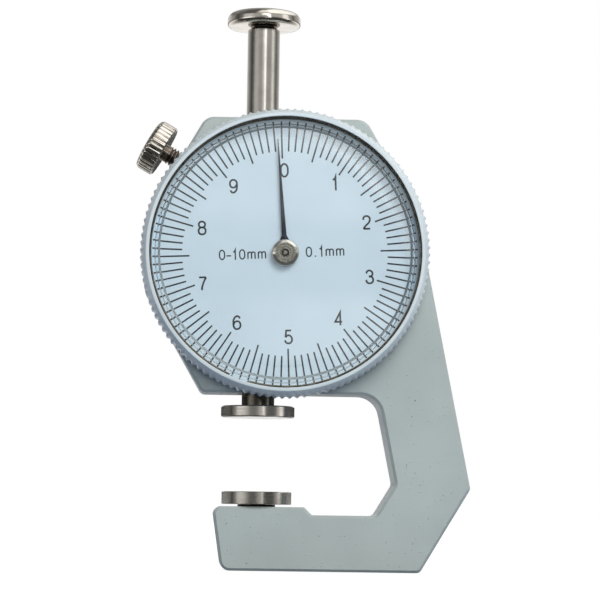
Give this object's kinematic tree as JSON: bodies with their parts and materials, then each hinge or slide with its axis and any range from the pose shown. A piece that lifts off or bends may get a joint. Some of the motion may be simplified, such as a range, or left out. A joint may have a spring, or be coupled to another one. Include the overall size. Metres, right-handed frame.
{
  "type": "dial thickness gauge",
  "caption": "Pocket dial thickness gauge: C-frame, round dial, rack spindle with flat contact disc and lifting cap, flat anvil, thumb lock screw.",
  "frame": {"origin": "centre of the anvil's measuring face", "axes": "+Z along the spindle, up from the anvil; the dial faces -Y; the frame's outer arm is on +X"},
  "size_m": [0.0456, 0.0153, 0.0762],
  "materials": {
    "frame_paint": "pale grey-green stove enamel on a zinc casting",
    "bezel_plastic": "moulded light blue-grey plastic",
    "crystal_acrylic": "clear moulded acrylic",
    "ring_brass": "drawn wire, lacquered",
    "dial_enamel": "light blue print on sheet metal",
    "ground_steel": "ground and polished",
    "nickel_plate": "bright nickel plate",
    "pointer_black": "blue-black",
    "movement_brass": "turned",
    "screw_steel": "turned",
    "spring_steel": "drawn wire"
  },
  "bodies": {
    "frame": {"frame_body": "frame_paint", "back_cover": "frame_paint", "back_cover_screws": "screw_steel", "bezel_retaining_wire": "spring_steel", "anvil": "ground_steel", "upper_bush": "movement_brass", "lower_bush": "movement_brass", "spring_post": "screw_steel", "return_spring": "spring_steel", "front_bearing": "movement_brass", "bridge_plate": "movement_brass", "bridge_pillars": "movement_brass", "bridge_screws": "screw_steel", "hairspring": "spring_steel", "hairspring_stud": "movement_brass"},
    "spindle": {"spindle": "ground_steel", "lifting_cap": "nickel_plate", "contact_disc": "ground_steel", "guide_pin": "screw_steel", "spring_pin": "screw_steel"},
    "pointer": {"pinion_shaft": "ground_steel", "pointer": "pointer_black", "pointer_hub": "nickel_plate", "hairspring_collet": "movement_brass"},
    "bezel": {"bezel": "bezel_plastic", "crystal": "crystal_acrylic", "crystal_snap_ring": "ring_brass", "dial_plate": "dial_enamel"},
    "lock_pad": {"lock_pad": "movement_brass"},
    "lock_screw": {"lock_screw": "nickel_plate"}
  },
  "joints": [
    {"name": "spindle_slide", "type": "slide", "parent": "frame", "child": "spindle", "axis": [0, 0, 1], "range_m": [-0.00993, 0.00026], "stiffness_N_per_m": 80, "springref_m": -0.01994, "deforming": ["return_spring"]},
    {"name": "pointer_spin", "type": "hinge", "parent": "frame", "child": "pointer", "pos_m": [0.0031, 0, 0.0316], "axis": [0, 1, 0], "range_deg": [-358, 10]},
    {"name": "bezel_turn", "type": "hinge", "parent": "frame", "child": "bezel", "pos_m": [0.0031, 0, 0.0316], "axis": [0, 1, 0], "continuous": true},
    {"name": "lock_travel", "type": "slide", "parent": "frame", "child": "lock_pad", "axis": [-0.866, 0, 0.5], "range_m": [0, 0.00135]},
    {"name": "lock_turn", "type": "hinge", "parent": "lock_pad", "child": "lock_screw", "pos_m": [-0.01325, 0, 0.04585], "axis": [-0.866, 0, 0.5], "range_deg": [0, 1081]}
  ],
  "couplings": [
    {"joint": "pointer_spin", "follows": "spindle_slide", "rad_per_m": 628.32},
    {"joint": "lock_turn", "follows": "lock_travel", "rad_per_m": 13963}
  ]
}
